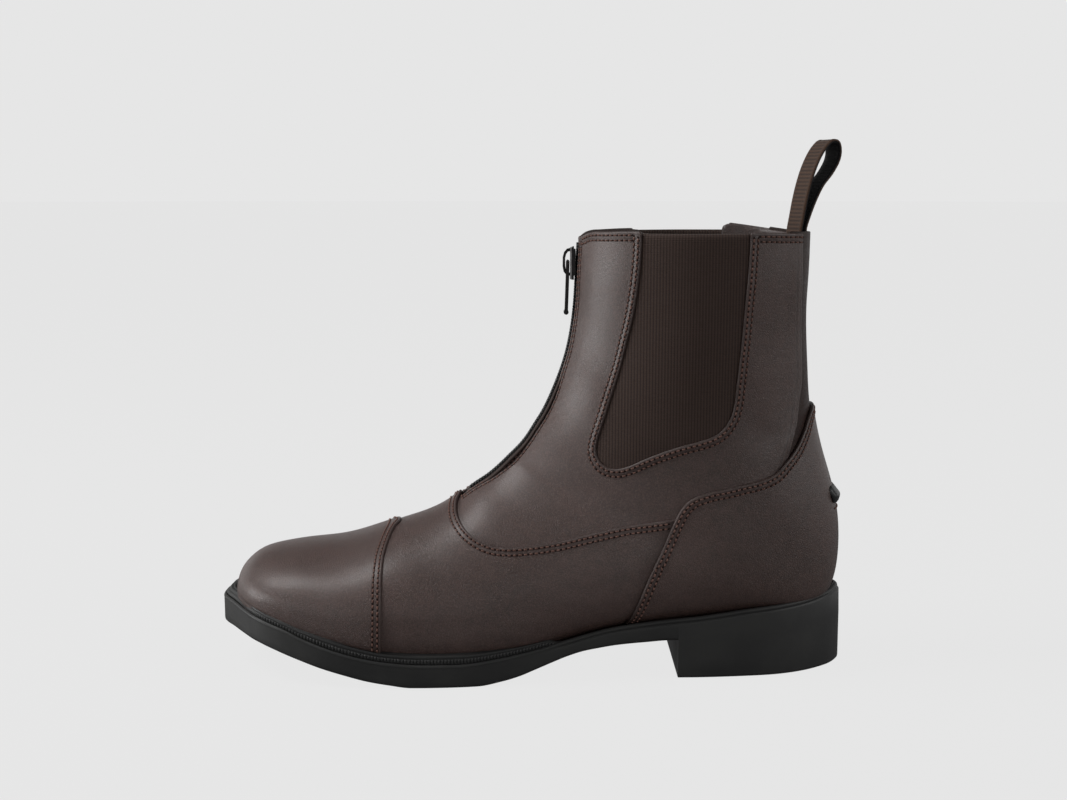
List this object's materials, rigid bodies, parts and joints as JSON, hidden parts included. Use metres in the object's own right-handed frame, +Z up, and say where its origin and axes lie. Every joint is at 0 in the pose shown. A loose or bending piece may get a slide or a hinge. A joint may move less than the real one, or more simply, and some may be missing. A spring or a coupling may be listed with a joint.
{
  "type": "paddock boot",
  "caption": "Ankle-high riding boot for the left foot: front zip with pull, elastic side gussets, toe cap, heel counter with spur rest, pull loop and heeled rubber sole.",
  "frame": {"origin": "middle of the bounding box seen from above, on the ground that the heel and forefoot stand on", "axes": "-X towards the toe and +X towards the heel, -Y towards the outer side of the left foot and +Y towards the inner side, +Z up the shaft"},
  "size_m": [0.2846, 0.0958, 0.2367],
  "materials": {
    "sole_rubber": "satin black",
    "welt_rubber": "satin black, finely ribbed",
    "footbed": "matt dark brown",
    "upper_leather": "dark brown, smooth, satin",
    "cap_leather": "dark brown, smooth, satin",
    "vamp_leather": "dark brown, smooth, satin",
    "counter_leather": "dark brown, smooth, satin",
    "spur_rubber": "satin black",
    "elastic": "ribbed elastic, dark brown",
    "zip_tape": "woven tape and moulded teeth, near black",
    "slider_metal": "black enamel",
    "pull_metal": "black enamel",
    "webbing": "ribbed brown webbing"
  },
  "bodies": {
    "boot": {"outsole": "sole_rubber", "welt": "welt_rubber", "insole": "footbed", "upper": "upper_leather", "toe_cap": "cap_leather", "vamp": "vamp_leather", "heel_counter": "counter_leather", "spur_rest": "spur_rubber", "gusset_lateral": "elastic", "gusset_medial": "elastic", "front_zip": "zip_tape", "zip_slider": "slider_metal", "pull_loop": "webbing"},
    "zip_pull": {"zip_pull": "pull_metal"}
  },
  "joints": [
    {"name": "pull_swing", "type": "hinge", "parent": "boot", "child": "zip_pull", "pos_m": [0.01694, 0.00046, 0.1826], "axis": [0, 1, 0], "range_deg": [0, 165]}
  ]
}
